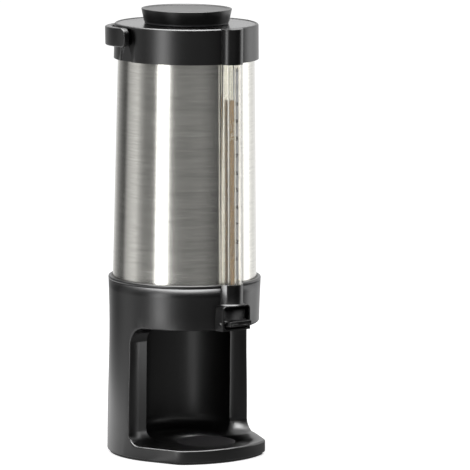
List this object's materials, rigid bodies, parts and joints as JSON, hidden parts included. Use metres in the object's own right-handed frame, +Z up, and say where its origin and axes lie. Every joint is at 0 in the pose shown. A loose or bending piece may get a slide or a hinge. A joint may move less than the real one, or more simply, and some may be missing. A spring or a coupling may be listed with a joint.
{
  "type": "drink dispenser",
  "caption": "Insulated steel drink dispenser on a round black stand with a cup bay, lever tap, sight gauge, carrying handle and lift-off lid.",
  "frame": {"origin": "the vessel's axis at the surface that the dispenser stands on", "axes": "+Z up along the vessel's axis, -Y towards the tap and the cup bay, +X to the right seen from behind the tap"},
  "size_m": [0.1942, 0.2074, 0.5355],
  "materials": {
    "black_moulding": "satin, finely textured",
    "black_handle": "satin, finely textured",
    "black_lid": "satin, finely textured",
    "dark_disc": "satin",
    "lever_plastic": "satin",
    "inner_plastic": "plain moulded",
    "brushed_shell": "brushed round the vessel",
    "steel": "satin",
    "small_steel": "bright",
    "rubber": "matt",
    "foam": "foamed in place",
    "clear_tube": "clear",
    "clear_cover": "clear",
    "scale_strip": "printed"
  },
  "bodies": {
    "root": {"stand": "black_moulding", "collar": "black_moulding", "collar_top_plate": "black_moulding", "gauge_head": "black_moulding", "gauge_neck": "black_moulding", "tap_housing": "black_moulding", "cup_disc": "dark_disc", "base_plate": "inner_plastic", "outlet_nut": "inner_plastic", "tap_body": "inner_plastic", "tap_gland": "inner_plastic", "spout_nozzle": "inner_plastic", "gauge_fitting": "inner_plastic", "outer_shell": "brushed_shell", "shell_floor": "steel", "inner_liner": "steel", "outlet_fitting": "steel", "base_screws": "small_steel", "tap_screws": "small_steel", "handle_pins": "small_steel", "lever_pin": "small_steel", "return_spring": "small_steel", "foot_pad": "rubber", "liner_gasket": "rubber", "outlet_gasket": "rubber", "gauge_seal": "rubber", "gauge_plug": "rubber", "foam_jacket": "foam", "gauge_tube": "clear_tube", "gauge_cover": "clear_cover", "gauge_scale": "scale_strip"},
    "handle": {"handle": "black_handle"},
    "lever": {"tap_lever": "lever_plastic"},
    "plunger": {"valve_plunger": "inner_plastic", "valve_disc": "rubber"},
    "lid": {"lid_cap": "black_lid", "lid_plug": "inner_plastic", "lid_seal": "rubber", "chill_core": "steel", "core_nut": "inner_plastic"}
  },
  "joints": [
    {"name": "handle_swing", "type": "hinge", "parent": "root", "child": "handle", "pos_m": [0, 0.0063, 0.5049], "axis": [1, 0, 0], "range_deg": [0, 92]},
    {"name": "tap_lever_press", "type": "hinge", "parent": "root", "child": "lever", "pos_m": [0, -0.0975, 0.16875], "axis": [1, 0, 0], "range_deg": [0, 12], "stiffness_Nm_per_rad": 0.3, "springref_deg": -17.19},
    {"name": "valve_pull", "type": "slide", "parent": "root", "child": "plunger", "axis": [0, -1, 0], "range_m": [0, 0.0026], "deforming": ["return_spring"]},
    {"name": "lid_lift", "type": "slide", "parent": "root", "child": "lid", "axis": [0, 0, 1], "range_m": [0, 0.03]}
  ],
  "couplings": [
    {"joint": "valve_pull", "follows": "tap_lever_press", "m_per_rad": 0.01096}
  ]
}
